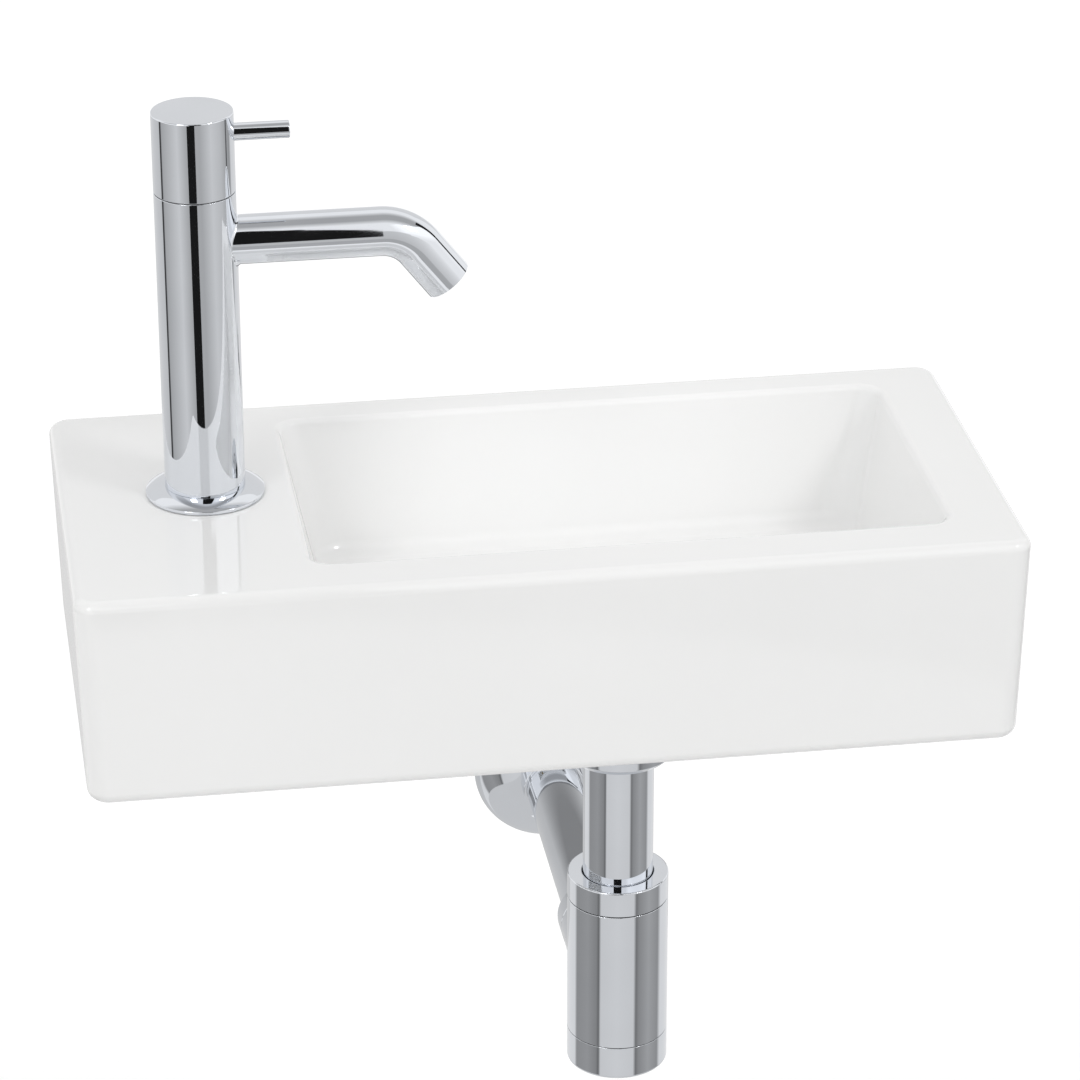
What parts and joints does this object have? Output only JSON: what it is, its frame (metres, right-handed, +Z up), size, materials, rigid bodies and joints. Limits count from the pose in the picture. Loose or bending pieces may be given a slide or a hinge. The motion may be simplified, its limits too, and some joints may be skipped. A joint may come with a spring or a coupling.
{
  "type": "hand basin with tap",
  "caption": "Small rectangular wall-hung ceramic hand basin with a side-mounted cold pillar tap, grid waste and chromed cup trap with wall outlet.",
  "frame": {"origin": "midway between the two wall fixing holes, on the flat back face of the basin", "axes": "+X to the right seen from the front, +Y into the wall, +Z up"},
  "size_m": [0.3848, 0.3124, 0.4483],
  "materials": {
    "white_glaze": "gloss glaze",
    "bright_chrome": "polished chrome plate",
    "bare_brass": "machined",
    "zinc_steel": "zinc plated",
    "disc_ceramic": "lapped",
    "black_rubber": "moulded",
    "grey_plastic": "moulded"
  },
  "bodies": {
    "basin_set": {"basin": "white_glaze", "tap_base_flange": "bright_chrome", "tap_base_gasket": "black_rubber", "tap_body": "bright_chrome", "tap_spout": "bright_chrome", "aerator_housing": "grey_plastic", "aerator_insert": "grey_plastic", "aerator_seal": "black_rubber", "tap_shank": "bare_brass", "shank_rubber_washer": "black_rubber", "shank_clamp_washer": "zinc_steel", "shank_backnut": "bare_brass", "headwork_seat_seal": "black_rubber", "headwork_body": "bare_brass", "ceramic_disc_fixed": "disc_ceramic", "slip_ring": "grey_plastic", "waste_top_seal": "black_rubber", "waste_strainer": "bright_chrome", "waste_screw": "zinc_steel", "waste_bottom_seal": "black_rubber", "waste_body": "bright_chrome", "inlet_union_nut": "bright_chrome", "inlet_union_seal": "black_rubber", "inlet_tube": "bright_chrome", "trap_collar": "bright_chrome", "collar_seal": "black_rubber", "trap_body": "bright_chrome", "dip_tube": "grey_plastic", "outlet_seal": "black_rubber", "outlet_ring": "bright_chrome", "outlet_tube": "bright_chrome"},
    "handle": {"handle_cap": "bright_chrome", "lever_pin": "bright_chrome", "handle_grub_screw": "zinc_steel", "headwork_spindle": "bare_brass", "ceramic_disc_turning": "disc_ceramic", "spindle_oring": "black_rubber"},
    "cup_thread": {"cup_seal": "black_rubber"},
    "cup": {"trap_cup": "bright_chrome"},
    "rosette": {"wall_rosette": "bright_chrome"}
  },
  "joints": [
    {"name": "handle_turn", "type": "hinge", "parent": "basin_set", "child": "handle", "pos_m": [-0.1323, -0.0845, 0.1865], "axis": [0, 0, 1], "range_deg": [0, 90]},
    {"name": "cup_drop", "type": "slide", "parent": "basin_set", "child": "cup_thread", "axis": [0, 0, -1], "range_m": [0, 0.0062]},
    {"name": "cup_unscrew", "type": "hinge", "parent": "cup_thread", "child": "cup", "pos_m": [0.0397, -0.089, -0.2125], "axis": [0, 0, -1], "range_deg": [0, 1080]},
    {"name": "rosette_slide", "type": "slide", "parent": "basin_set", "child": "rosette", "axis": [0, -1, 0], "range_m": [0, 0.1135]}
  ],
  "couplings": [
    {"joint": "cup_drop", "follows": "cup_unscrew", "m_per_rad": 0.00031831}
  ]
}
